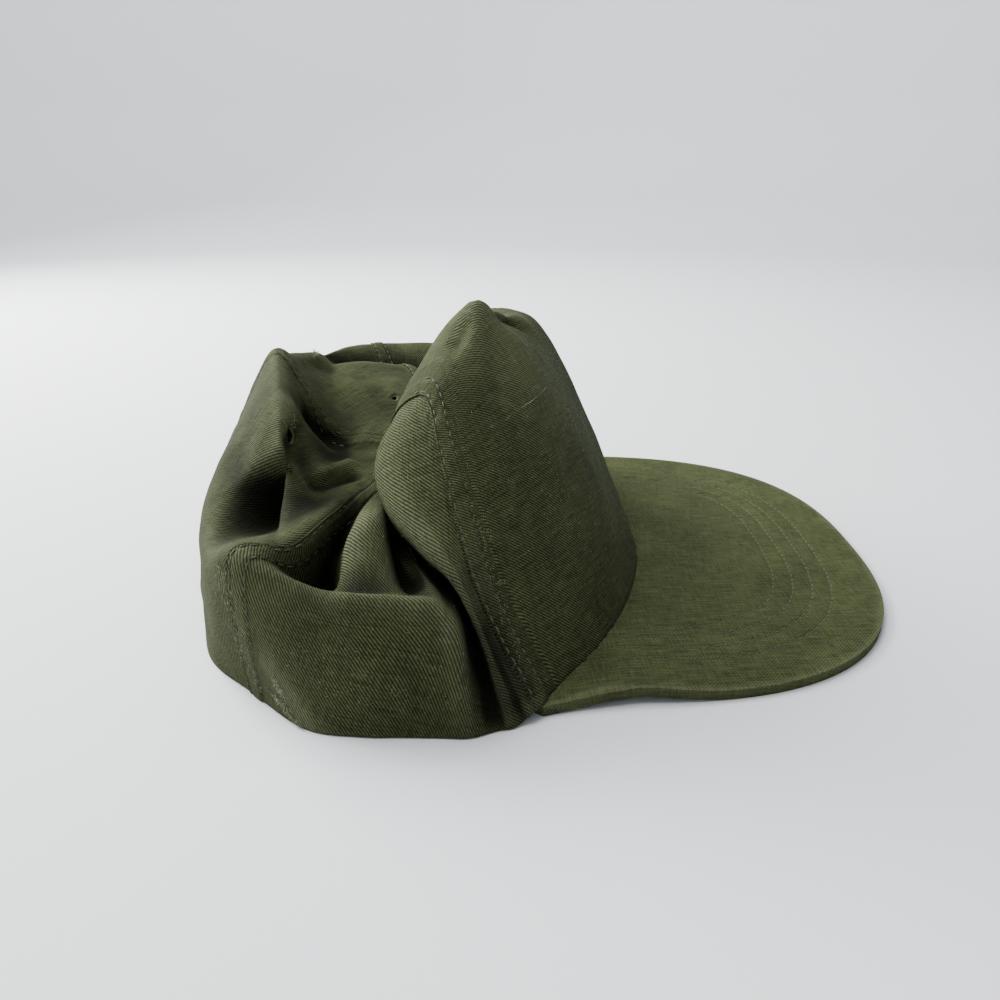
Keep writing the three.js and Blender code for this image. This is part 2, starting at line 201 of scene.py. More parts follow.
LAST_STATION = len(STATIONS)
STEP = 0.02


def catmull_rom(before, start, end, after, share):
    square = share * share
    cube = square * share
    slope = end - before
    bend = 2 * before - 5 * start + 4 * end - after
    twist = 3 * (start - end) + after - before
    return start + 0.5 * (slope * share + bend * square + twist * cube)


def smooth_shell(u, v):
    """A point for each pair: u counts sections round the rim, v counts stations from the rim inwards."""
    first = np.floor(u).astype(int)
    count = len(SECTIONS)
    share = (u - first)[:, None, None]
    section = catmull_rom(*(HOOPS[(first + k) % count] for k in (-1, 0, 1, 2)), share)
    below = 2 * section[:, :1] - section[:, 1:2]
    beyond = 2 * section[:, -1:] - section[:, -2:-1]
    section = np.concatenate([below, section, beyond], axis=1)
    station = np.clip(np.floor(v).astype(int), 0, LAST_STATION - 1)
    rows = np.arange(len(u))
    points = catmull_rom(*(section[rows, station + k] for k in (0, 1, 2, 3)), (v - station)[:, None])
    points[:, 2] = np.maximum(points[:, 2], 0)
    return points


def unit(vectors):
    return vectors / np.maximum(np.linalg.norm(vectors, axis=-1, keepdims=True), 1e-9)


def shell_normal(surface, u, v):
    low = np.maximum(v - STEP, 0)
    high = np.minimum(v + STEP, LAST_STATION)
    across = surface(u + STEP, v) - surface(u - STEP, v)
    inwards = surface(u, high) - surface(u, low)
    return unit(np.cross(inwards, across))


def distance_to_line(points, start, end):
    line = np.subtract(end, start)
    along = np.clip((points - start) @ line / (line @ line), 0, 1)
    return np.linalg.norm(points - start - along[:, None] * line, axis=1)


def shell(u, v):
    """The folded shell: the smooth one, lifted or dented along each fold."""
    points = smooth_shell(u, v)
    height = np.zeros(len(points))
    for _, start, end, radius, fold_height in FOLDS:
        height += fold_height * np.exp(-((distance_to_line(points, start, end) / radius) ** 2))
    return points + shell_normal(smooth_shell, u, v) * height[:, None]


# The seams
# Each seam is flat-felled: one panel's edge is folded over the next, and two rows of stitches hold it.
# Counting the sections in their order, the lap lies on the panel before the seam (-1) or after it (1).
SEAMS = {
    "front right seam": -1,
    "rear right seam": -1,
    "centre back seam": -1,
    "rear left seam": 1,
    "front left seam": 1,
}
LAP_HEIGHT = 0.5
LAP_WIDTH = 6.9
LAP_SLOPE = 1.4
STITCH_ROWS = (1.0, 5.9)
ROW_DEPTH = 0.34
ROW_WIDTH = 0.55
PUCKER_HEIGHT = 0.16
PUCKER_LENGTH = 8.5
PUCKER_REACH = 6
PUCKER_DRIFT = 1.7
PUCKER_DRIFT_PITCH = 0.21
EDGE_TUCK = 0.15
EDGE_TUCK_REACH = 0.7


def smooth_step(low, high, value):
    share = np.clip((value - low) / (high - low), 0, 1)
    return share * share * (3 - 2 * share)


def lap_height(distance, along, lapped):
    """How far the cloth stands above the shell at this distance from a seam."""
    drift = PUCKER_DRIFT * np.sin(along * PUCKER_DRIFT_PITCH)
    puckers = np.sin(along * (2 * math.pi / PUCKER_LENGTH) + drift)
    height = PUCKER_HEIGHT * puckers * np.exp(-((distance / PUCKER_REACH) ** 2))
    if not lapped:
        return height - EDGE_TUCK * np.exp(-((distance / EDGE_TUCK_REACH) ** 2))
    height = height + LAP_HEIGHT * (1 - smooth_step(LAP_WIDTH - LAP_SLOPE, LAP_WIDTH, distance))
    for row in STITCH_ROWS:
        height = height - ROW_DEPTH * np.exp(-(((distance - row) / ROW_WIDTH) ** 2))
    return height


# Twill
# Cotton twill in washed olive drab: each warp thread floats over three weft threads and dips under one,
# a thread later on each neighbour, so that slanting ribs three quarters of a millimetre apart cross it.
WARP_PITCH = 0.265 * MM
WEFT_PITCH = 0.265 * MM
THREADS_IN_A_STEP = 4
FLOAT_SHARE = 0.74
THREAD_DEPTH = 0.24 * MM
# Painted shade: the colour painted into the grooves between the ribs.
OLIVE_GROOVE_SHADE = (0.008, 0.010, 0.004, 1)
OLIVE = (0.078, 0.091, 0.036, 1)
# Pale worn cloth, also used as painted light on the lit tops.
OLIVE_WORN_AND_PAINTED_LIGHT = (0.152, 0.166, 0.092, 1)
STREAK_STRENGTH = 1.4
SLUB_STRENGTH = 1.8
GRAIN_STRENGTH = 1.2
PATCH_STRENGTH = 0.9
PAINTED_FOLD_SHADE = 0.85


def math_node(tree, operation, first, second=None, third=None):
    step = tree.nodes.new("ShaderNodeMath")
    step.operation = operation
    for socket, value in zip(step.inputs, (first, second, third)):
        if value is None:
            continue
        if isinstance(value, (int, float)):
            socket.default_value = value
        else:
            tree.links.new(value, socket)
    return step.outputs[0]


def noise_node(tree, place, scale, detail):
    texture = tree.nodes.new("ShaderNodeTexNoise")
    texture.inputs["Scale"].default_value = scale
    texture.inputs["Detail"].default_value = detail
    tree.links.new(place, texture.inputs["Vector"])
    return texture.outputs["Fac"]


def scaled_place(tree, place, scale, turn=0):
    mapping = tree.nodes.new("ShaderNodeMapping")
    mapping.inputs["Scale"].default_value = scale
    mapping.inputs["Rotation"].default_value = (0, 0, turn)
    tree.links.new(place, mapping.inputs["Vector"])
    return mapping.outputs["Vector"]


def mix_colour(tree, share, first, second, blend="MIX"):
    mix = tree.nodes.new("ShaderNodeMix")
    mix.data_type = "RGBA"
    mix.blend_type = blend
    for name, value in (("Factor", share), ("A", first), ("B", second)):
        usable = (s for s in mix.inputs if s.name == name and s.enabled)
        socket = next(s for s in usable if s.type in ("VALUE", "RGBA"))
        if isinstance(value, (int, float, tuple)):
            socket.default_value = value
        else:
            tree.links.new(value, socket)
    return next(s for s in mix.outputs if s.type == "RGBA")


def twill_material(name, rib_angle, depth=1.0):
    """Twill whose ribs run at rib_angle degrees on the cloth, flatter where depth is below one."""
    material = bpy.data.materials.new(name)
    material.use_nodes = True
    tree = material.node_tree
    shader = tree.nodes["Principled BSDF"]
    shader.inputs["Roughness"].default_value = 0.88
    shader.inputs["Specular IOR Level"].default_value = 0.08
    cloth_map = tree.nodes.new("ShaderNodeUVMap")
    cloth_map.uv_map = "cloth"
    place = cloth_map.outputs["UV"]
    turned = scaled_place(tree, place, (1, 1, 1), math.radians(45 - rib_angle))
    split = tree.nodes.new("ShaderNodeSeparateXYZ")
    tree.links.new(turned, split.inputs["Vector"])
    waver = math_node(tree, "MULTIPLY", noise_node(tree, place, 260, 2), 0.5)
    warp = math_node(tree, "ADD", math_node(tree, "DIVIDE", split.outputs["X"], WARP_PITCH), waver)
    weft = math_node(tree, "ADD", math_node(tree, "DIVIDE", split.outputs["Y"], WEFT_PITCH), waver)
    thread = math_node(tree, "FLOOR", warp)
    turn = math_node(tree, "MULTIPLY", math_node(tree, "SUBTRACT", weft, thread), 1 / THREADS_IN_A_STEP)
    phase = math_node(tree, "DIVIDE", math_node(tree, "FRACT", turn), FLOAT_SHARE)
    along_float = math_node(tree, "MULTIPLY", math_node(tree, "MINIMUM", phase, 1), math.pi)
    rib = math_node(tree, "POWER", math_node(tree, "SINE", along_float), 0.6)
    across_thread = math_node(tree, "SINE", math_node(tree, "MULTIPLY", warp, math.pi))
    round_thread = math_node(tree, "ABSOLUTE", across_thread)
    height = math_node(tree, "MULTIPLY", rib, math_node(tree, "MULTIPLY_ADD", round_thread, 0.45, 0.55))
    height = math_node(tree, "MULTIPLY_ADD", height, depth, 0.5 * (1 - depth))

    streaks = noise_node(tree, scaled_place(tree, turned, (2200, 160, 1)), 1, 2)
    slubs = noise_node(tree, scaled_place(tree, turned, (120, 1900, 1)), 1, 2)
    grain = noise_node(tree, place, 2700, 2)
    patches = noise_node(tree, place, 38, 3)
    # Painted shade: the grooves between the ribs are painted near black.
    colour = mix_colour(tree, height, OLIVE_GROOVE_SHADE, OLIVE)
    bright = 1
    patterns = (
        (streaks, STREAK_STRENGTH), (slubs, SLUB_STRENGTH),
        (grain, GRAIN_STRENGTH), (patches, PATCH_STRENGTH),
    )
    for pattern, strength in patterns:
        around_zero = math_node(tree, "SUBTRACT", pattern, 0.5)
        bright = math_node(tree, "MULTIPLY_ADD", around_zero, strength, bright)
    # Painted shade: the fold attribute paints the cloth darker in its deep folds.
    fold = tree.nodes.new("ShaderNodeAttribute")
    fold.attribute_name = "fold"
    painted_shade_factor = math_node(tree, "MULTIPLY_ADD", fold.outputs["Fac"], -PAINTED_FOLD_SHADE, 1)
    bright = math_node(tree, "MULTIPLY", bright, painted_shade_factor)
    shade = tree.nodes.new("ShaderNodeCombineColor")
    for channel in shade.inputs:
        tree.links.new(bright, channel)
    colour = mix_colour(tree, 1.0, colour, shade.outputs["Color"], "MULTIPLY")
    # Paler where the cloth is worn, and on the panels also painted light on the lit tops.
    wear_and_painted_light = tree.nodes.new("ShaderNodeAttribute")
    wear_and_painted_light.attribute_name = "wear_and_painted_light"
    on_the_ribs = math_node(tree, "MULTIPLY_ADD", height, 0.7, 0.15)
    along_threads = math_node(tree, "MULTIPLY_ADD", streaks, 1.2, 0.3)
    worn = math_node(tree, "MULTIPLY", wear_and_painted_light.outputs["Fac"], on_the_ribs)
    worn = math_node(tree, "MULTIPLY", worn, along_threads)
    colour = mix_colour(tree, math_node(tree, "MINIMUM", worn, 1), colour, OLIVE_WORN_AND_PAINTED_LIGHT)
    tree.links.new(colour, shader.inputs["Base Color"])
    crumple = noise_node(tree, place, 150, 3)
    relief = math_node(tree, "MULTIPLY_ADD", grain, 0.5, height)
    relief = math_node(tree, "MULTIPLY_ADD", slubs, 0.5, relief)
    relief = math_node(tree, "MULTIPLY_ADD", crumple, 2.2, relief)
    bump = tree.nodes.new("ShaderNodeBump")
    bump.inputs["Strength"].default_value = 1
    bump.inputs["Distance"].default_value = THREAD_DEPTH
    tree.links.new(relief, bump.inputs["Height"])
    tree.links.new(bump.outputs["Normal"], shader.inputs["Normal"])
    return material


# Panels
# Each panel is cut from twill with its grain up the middle, and runs from one seam to the next and from
# the folded hem at the rim to the crown's centre. It is one wall of cloth with a rounded hem.
PANELS = {
    "front_panel": ("front left seam", "front right seam", 55),
    "right_side_panel": ("front right seam", "rear right seam", 68),
    "right_back_panel": ("rear right seam", "centre back seam", 98),
    "left_back_panel": ("centre back seam", "rear left seam", 50),
    "left_side_panel": ("rear left seam", "front left seam", 50),
}
GAP = 0.1
COLUMN_STATION = 1.4
COLUMN_SAMPLES = 400
ROW_SAMPLES = 600
COLUMN_FINE = 0.5
COLUMN_WIDE = 1.5
FINE_REACH = 8.5
ROW_STEP = 1.25
TIP = 0.05
NOSE_RIM = 0.55
NEAR_FLOOR = 2
FLOOR_CLEARANCE = 0.2
RUMPLE_HEIGHT = 0.45
RUMPLE_LENGTH = 17
RUMPLE_START = 14
SMALL_RUMPLE = 0.4
SMALL_RUMPLE_HEIGHT = 0.5
HEM_LIFT = 0.35
FLAT_CELLS = (70, 70)
FLAT_ROUNDS = 14
EDGE_WEAR = 0.25
SEAM_WEAR_REACH = 1.2
HEM_WEAR_REACH = 1.8
RIDGE_WEAR = 0.4
RIDGE_REACH = 3
VALLEY_REACH = 8
BEND_SCALE = 6
# Where the cloth is painted paler, rubbed pale at the hem, seam and corner, and as painted light on the
# lit tops: what it is, from, to, radius and strength
WORN_AND_PAINTED_LIGHT_PLACES = [
    ("hem at the rear corner", (-68, -102, 15), (-57, -108, 1), 3, 1.0),
    ("rear right seam", (-74, -97, 32), (-66, -103, 10), 12, 0.35),
    ("rear right corner", (-92, -77, 38), (-88, -82, 14), 13, 0.15),
    # Painted light: these three rows paint the lit tops paler.
    ("top of the front", (-12, -36, 88), (-2, -42, 72), 17, 0.4),
    ("top of the tongue", (-38, -86, 38), (-47, -80, 44), 9, 0.3),
    ("low side fold", (-26, -86, 46), (-18, -97, 33), 8, 0.35),
]
# Painted shade: where the cloth is painted darker, deep in the folds and over the rear wall: the same
# columns
PAINTED_SHADE_PLACES = [
    ("pocket behind the wall corner", (-37, -69, 35), (-27, -86, 33), 7, 0.9),
    ("crease before the side fold", (-20, -92, 31), (-6, -103, 10), 7.5, 1.4),
    ("hollow above the right seam", (-68, -65, 44), (-48, -60, 42), 8, 0.8),
    ("dent in the rear wall", (-83, -56, 48), (-76, -60, 42), 8, 0.4),
    ("rear wall", (-99, -48, 36), (-86, -32, 64), 18, 0.28),
]


def arc_lengths(points):
    steps = np.linalg.norm(np.diff(points, axis=0), axis=1)
    return np.concatenate([[0], np.cumsum(steps)])


def column_places(first, last):
    """Values of u across a panel: close together by the seams, and wider in between."""
    u = np.linspace(first, last, COLUMN_SAMPLES)
    lengths = arc_lengths(shell(u, np.full_like(u, COLUMN_STATION)))
    places = [0.0]
    while places[-1] < lengths[-1]:
        near_seam = min(places[-1], lengths[-1] - places[-1]) < FINE_REACH
        places.append(places[-1] + (COLUMN_FINE if near_seam else COLUMN_WIDE))
    places = np.array(places) * (lengths[-1] / places[-1])
    return np.interp(places, lengths, u)


def row_places(middle):
    """Values of v from the rim to the tip, evenly spaced along the panel's middle."""
    v = np.linspace(0, LAST_STATION - TIP, ROW_SAMPLES)
    lengths = arc_lengths(shell(np.full_like(v, middle), v))
    return np.interp(np.linspace(0, lengths[-1], int(lengths[-1] / ROW_STEP)), lengths, v)


def seam_points(name, v):
    section = SECTION_NAMES.index(name)
    points = shell(np.full_like(v, section), v)
    return points, arc_lengths(points)


def grid_normals(points):
    across = np.gradient(points, axis=0)
    inwards = np.gradient(points, axis=1)
    return unit(np.cross(inwards, across))


def rumple(point):
    """A soft unevenness of worn cloth, the same for neighbouring panels."""
    place = Vector(point)
    small = noise.noise(place / (RUMPLE_LENGTH * SMALL_RUMPLE))
    return noise.noise(place / RUMPLE_LENGTH) + SMALL_RUMPLE_HEIGHT * small


def unwrapped(coarse):
    """A grid of points relaxed flat, as Blender's unwrap does it, still at any size and turn."""
    columns, rows = coarse.shape[:2]
    index = np.arange(columns * rows).reshape(columns, rows)
    quads = np.stack([index[:-1, :-1], index[:-1, 1:], index[1:, 1:], index[1:, :-1]], -1).reshape(-1, 4)
    mesh = bpy.data.meshes.new("flat cloth")
    mesh.from_pydata(coarse.reshape(-1, 3).tolist(), [], quads.tolist())
    mesh.uv_layers.new(name="cloth")
    sheet = bpy.data.objects.new("flat cloth", mesh)
    bpy.context.scene.collection.objects.link(sheet)
    bpy.ops.object.select_all(action="DESELECT")
    sheet.select_set(True)
    bpy.context.view_layer.objects.active = sheet
    bpy.ops.object.mode_set(mode="EDIT")
    bpy.ops.mesh.select_all(action="SELECT")
    bpy.ops.uv.unwrap(method="MINIMUM_STRETCH", iterations=FLAT_ROUNDS, margin=0)
    bpy.ops.object.mode_set(mode="OBJECT")
    corners = np.zeros(len(mesh.loops), int)
    mesh.loops.foreach_get("vertex_index", corners)
    loose = np.zeros(len(mesh.loops) * 2)
    mesh.uv_layers["cloth"].data.foreach_get("uv", loose)
    flat = np.zeros((len(mesh.vertices), 2))
    flat[corners] = loose.reshape(-1, 2)
    bpy.data.objects.remove(sheet)
    return flat.reshape(columns, rows, 2)


def spread(values, places, count):
    """Rows of values known at some places, filled in for every place up to count."""
    return np.array([[np.interp(np.arange(count), places, row[:, k]) for k in (0, 1)] for row in values])


def flattened(points):
    """Where each point of a grid lies on the flat cloth, in millimetres, with its columns upright."""
    columns = np.unique(np.linspace(0, points.shape[0] - 1, FLAT_CELLS[0]).astype(int))
    rows = np.unique(np.linspace(0, points.shape[1] - 1, FLAT_CELLS[1]).astype(int))
    coarse = points[columns][:, rows]
    flat = unwrapped(coarse)
    real_length = np.linalg.norm(np.diff(coarse, axis=1), axis=2).sum()
    flat = flat * (real_length / np.linalg.norm(np.diff(flat, axis=1), axis=2).sum())
    middle = len(columns) // 2
    upright = unit(flat[middle, len(rows) // 3] - flat[middle, 0])
    flat = flat - flat[middle, 0]
    flat = np.stack([flat @ np.array([upright[1], -upright[0]]), flat @ upright], -1)
    if flat[-1, 0, 0] < flat[0, 0, 0]:
        flat[..., 0] = -flat[..., 0]
    wide = spread(flat.transpose(1, 0, 2), columns, points.shape[0])
    full = spread(wide.transpose(2, 0, 1), rows, points.shape[1])
    return full[:, 0], full[:, 1]


def panel_grid(first_name, last_name):
    """A panel's outer face as a grid, each point's place on the flat cloth and its way to the edges."""
    first = SECTION_NAMES.index(first_name)
    last = SECTION_NAMES.index(last_name)
    last = last if last > first else last + len(SECTIONS)
    u = column_places(first, last)
    v = row_places((first + last) / 2)
    grid_u, grid_v = np.meshgrid(u, v, indexing="ij")
    points = shell(grid_u.ravel(), grid_v.ravel()).reshape(*grid_u.shape, 3)
    normals = shell_normal(shell, grid_u.ravel(), grid_v.ravel()).reshape(points.shape)
    height = np.zeros(grid_u.shape)
    from_seam = np.full(grid_u.shape, np.inf)
    for name, side in ((first_name, 1), (last_name, -1)):
        seam, along = seam_points(name, v)
        distance = np.linalg.norm(points - seam[None], axis=2)
        height += lap_height(distance, along[None], SEAMS[name] == side)
        from_seam = np.minimum(from_seam, distance)
    climb = np.cumsum(np.linalg.norm(np.diff(points, axis=1), axis=2), 1)
    from_rim = np.concatenate([np.zeros((len(u), 1)), climb], 1)
    flat = flattened(points)
    rumples = np.array([rumple(p) for p in points.reshape(-1, 3)]).reshape(height.shape)
    height += RUMPLE_HEIGHT * rumples * smooth_step(0, RUMPLE_START, from_rim)
    points = points + normals * height[..., None]
    points[0] += unit(points[1] - points[0]) * (GAP / 2)
    points[-1] += unit(points[-2] - points[-1]) * (GAP / 2)
    return points, flat, from_rim, from_seam


def bending(points, reach, way):
    """How strongly the cloth bends outwards (way 1) or inwards (way -1) at each point, from 0 to 1."""
    normals = grid_normals(points) * way
    bend = np.zeros(points.shape[:2])
    for axis in (0, 1):
        ahead = np.roll(points, -reach, axis)
        behind = np.roll(points, reach, axis)
        span = np.linalg.norm(ahead - behind, axis=2)
        lift = np.sum((points - (ahead + behind) / 2) * normals, axis=2)
        place = np.arange(points.shape[axis])
        inside = (place >= reach) & (place < len(place) - reach)
        mask = inside[:, None] if axis == 0 else inside[None]
        bend = np.maximum(bend, np.where(mask, lift / np.maximum(span, 1), 0))
    return np.clip(bend * BEND_SCALE, 0, 1)


def near_places(points, places):
    """The strength of these marked places at each point of a grid."""
    total = np.zeros(points.shape[:2])
    for _, start, end, radius, strength in places:
        away = distance_to_line(points.reshape(-1, 3), start, end).reshape(total.shape)
        total += strength * np.exp(-((away / radius) ** 2))
    return total


def panel_faces(columns, rows):
    """The faces of a panel: its outer and inner side, its rounded hem, its tip and its two cut edges."""
    count = columns * rows
    outer = np.arange(count).reshape(columns, rows)
    hem = 2 * count + np.arange(columns)
    faces = []
    for i in range(columns - 1):
        for j in range(rows - 1):
            a, b = outer[i, j], outer[i, j + 1]
            d, c = outer[i + 1, j], outer[i + 1, j + 1]
            faces.append((a, b, c, d))
            faces.append((a + count, d + count, c + count, b + count))
    for i in range(columns - 1):
        a, b = outer[i, 0], outer[i + 1, 0]
        faces.append((a, b, hem[i + 1], hem[i]))
        faces.append((hem[i], hem[i + 1], b + count, a + count))
    tip = outer[:, -1]
    for a, b in zip(tip[1:], tip[:-1]):
        faces.append((a, b, b + count, a + count))
    for side, nose, is_first in ((outer[-1], hem[-1], False), (outer[0], hem[0], True)):
        edge = [(side[0], side[0] + count, nose)]
        edge += [(a, b, b + count, a + count) for a, b in zip(side[:-1], side[1:])]
        faces += edge if is_first else [tuple(reversed(face)) for face in edge]
    return [tuple(int(k) for k in face) for face in faces]


def new_piece(name, vertices, faces, material):
    """A smooth piece of these points, in millimetres, and these faces."""
    mesh = bpy.data.meshes.new(name)
    mesh.from_pydata((vertices * MM).tolist(), [], faces)
    mesh.update()
    mesh.shade_smooth()
    mesh.materials.append(material)
    piece = bpy.data.objects.new(name, mesh)
    bpy.context.scene.collection.objects.link(piece)
    return piece


def set_cloth_map(mesh, place):
    """Lays the twill on a mesh: place says where each of its points lies on the flat cloth, in metres."""
    corners = np.zeros(len(mesh.loops), int)
    mesh.loops.foreach_get("vertex_index", corners)
    cloth_map = mesh.uv_layers.new(name="cloth")
    cloth_map.data.foreach_set("uv", place[corners].astype(np.float32).ravel())


def set_attribute(mesh, name, values):
    mesh.attributes.new(name, "FLOAT", "POINT").data.foreach_set("value", values.astype(np.float32))


def panel_piece(name, first_name, last_name, rib_angle):
    points, flat, from_rim, from_seam = panel_grid(first_name, last_name)
    columns, rows = points.shape[:2]
    normals = grid_normals(points)
    normals[:, 0, 2] = 0
    normals = unit(normals)
    on_floor = points[:, 0, 2] < NEAR_FLOOR
    points[:, 0, 2] += np.where(on_floor, HEM_LIFT, 0)
    inner = points - normals * CLOTH
    inner[..., 2] = np.maximum(inner[..., 2], np.where(points[..., 2] < FRONT_RIM, 0, FLOOR_CLEARANCE))
    hem = (points[:, 0] + inner[:, 0]) / 2
    hem[:, 2] -= np.where(on_floor, HEM_LIFT, NOSE_RIM)
    vertices = np.concatenate([points.reshape(-1, 3), inner.reshape(-1, 3), hem])
    material = twill_material(name + "_twill", rib_angle)
    piece = new_piece(name + "_twill", vertices, panel_faces(columns, rows), material)
    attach(piece, "root")
    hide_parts(name)
    place = np.stack([flat[0].ravel(), flat[1].ravel()], 1) * MM
    set_cloth_map(piece.data, np.concatenate([place, place, place.reshape(columns, rows, 2)[:, 0]]))
    edges = np.exp(-((from_seam / SEAM_WEAR_REACH) ** 2)) + np.exp(-((from_rim / HEM_WEAR_REACH) ** 2))
    wear_and_painted_light = EDGE_WEAR * edges + RIDGE_WEAR * bending(points, RIDGE_REACH, 1)
    # Paler from rubbing, and painted light on the lit tops.
    wear_and_painted_light += near_places(points, WORN_AND_PAINTED_LIGHT_PLACES)
    # Painted shade: darker where the cloth bends inwards and at the painted shade places.
    fold = bending(points, VALLEY_REACH, -1) + near_places(points, PAINTED_SHADE_PLACES)
    for attribute, values in (("wear_and_painted_light", np.clip(wear_and_painted_light, 0, 1)), ("fold", np.clip(fold, 0, 1))):
        whole = np.concatenate([values.ravel(), np.zeros(columns * rows), values[:, 0]])
        set_attribute(piece.data, attribute, whole)
    return piece


panels = {name: panel_piece(name, *facts) for name, facts in PANELS.items()}

# Seam stitches
# Two rows of cotton thread hold each felled seam, eight stitches to the inch. A stitch is a short bead of
# thread that sinks into the cloth at both ends.
STITCH_PITCH = 3.1
STITCH_LENGTH = 2.3
THREAD_RADIUS = 0.24
THREAD_COLOUR = (0.060, 0.066, 0.032, 1)
THREAD_LIFT = 0.45
STITCH_BEND = 0.45
STITCH_TURN = 0.07
STITCH_DRIFT = 0.1
STITCH_UNEVEN = (0.88, 1.08)
STITCH_RUN = 0.8
SEAM_STITCH_START = 0.06
SEAM_STITCH_END = 5.6
ROW_POINTS = 260
ROW_ROUNDS = 6
ROW_STRIDE = 0.3
rng = random.Random(17)
bpy.ops.mesh.primitive_uv_sphere_add(segments=6, ring_count=6, radius=1)
bead = bpy.context.object
bead_points = np.array([vertex.co for vertex in bead.data.vertices])
bead_faces = [tuple(face.vertices) for face in bead.data.polygons]
bpy.data.objects.remove(bead)
bead_shape = np.stack([bead_points[:, 2], bead_points[:, 0], bead_points[:, 1]], 1)
bead_shape[:, 2] -= STITCH_BEND * bead_shape[:, 0] ** 2


def thread_material(name, colour):
    material = bpy.data.materials.new(name)
    material.use_nodes = True
    tree = material.node_tree
    shader = tree.nodes["Principled BSDF"]
    shader.inputs["Roughness"].default_value = 0.8
    shader.inputs["Sheen Weight"].default_value = 0.05
    place = tree.nodes.new("ShaderNodeTexCoord").outputs["Object"]
    patches = noise_node(tree, place, 900, 2)
    darker = tuple(c * 0.55 for c in colour[:3]) + (1,)
    tree.links.new(mix_colour(tree, patches, darker, colour), shader.inputs["Base Color"])
    twist = noise_node(tree, place, 5200, 1)
    bump = tree.nodes.new("ShaderNodeBump")
    bump.inputs["Strength"].default_value = 0.5
    bump.inputs["Distance"].default_value = 0.1 * MM
    tree.links.new(twist, bump.inputs["Height"])
    tree.links.new(bump.outputs["Normal"], shader.inputs["Normal"])
    return material


thread = thread_material("cotton_thread", THREAD_COLOUR)


def read_at(values, lengths, where):
    """The points or ways along a row, read at these lengths."""
    return np.stack([np.interp(where, lengths, values[:, k]) for k in range(3)], 1)


def bead_places(points, normals):
    """The middle, run and normal of each stitch along a row."""
    lengths = arc_lengths(points)
    middles = np.arange(STITCH_PITCH, lengths[-1] - STITCH_PITCH / 2, STITCH_PITCH)
    ahead = read_at(points, lengths, middles + STITCH_RUN)
    behind = read_at(points, lengths, middles - STITCH_RUN)
    up = unit(read_at(normals, lengths, middles))
    return read_at(points, lengths, middles), unit(ahead - behind), up


def stitch_piece(name, rows):
    """All the stitches of these rows, each row given as its points and the ways out of the cloth."""
    vertices = []
    faces = []
    for points, normals in rows:
        for middle, run, up in zip(*bead_places(points, normals)):
            side = unit(np.cross(up, run))
            run = unit(run + side * rng.uniform(-STITCH_TURN, STITCH_TURN))
            side = unit(np.cross(up, run))
            length = STITCH_LENGTH * rng.uniform(*STITCH_UNEVEN) / 2
            middle = middle + side * rng.uniform(-STITCH_DRIFT, STITCH_DRIFT)
            shape = (
                bead_shape[:, :1] * length * run
                + bead_shape[:, 1:2] * THREAD_RADIUS * side
                + bead_shape[:, 2:] * THREAD_RADIUS * up
            )
            start = sum(len(part) for part in vertices)
            vertices.append(shape + middle)
            faces += [tuple(start + k for k in face) for face in bead_faces]
    piece = new_piece(name, np.concatenate(vertices), faces, thread)
    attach(piece, "root")


for seam_name, side in SEAMS.items():
    v = np.linspace(SEAM_STITCH_START, SEAM_STITCH_END, ROW_POINTS)
    section = SECTION_NAMES.index(seam_name)
    edge, along = seam_points(seam_name, v)
    rows = []
    for offset in STITCH_ROWS:
        u = np.full_like(v, section)
        for _ in range(ROW_ROUNDS):
            reached = np.linalg.norm(shell(u, v) - edge, axis=1)
            width = np.linalg.norm(shell(u + side * STEP, v) - shell(u, v), axis=1) / STEP
            u = u + side * np.clip((offset - reached) / np.maximum(width, 0.5), -ROW_STRIDE, ROW_STRIDE)
        row = shell(u, v)
        normals = shell_normal(shell, u, v)
        lift = lap_height(np.full_like(v, offset), along, True) + THREAD_RADIUS * THREAD_LIFT
        rows.append((row + normals * lift[:, None], normals))
    stitch_piece(seam_name.replace(" ", "_") + "_stitches", rows)

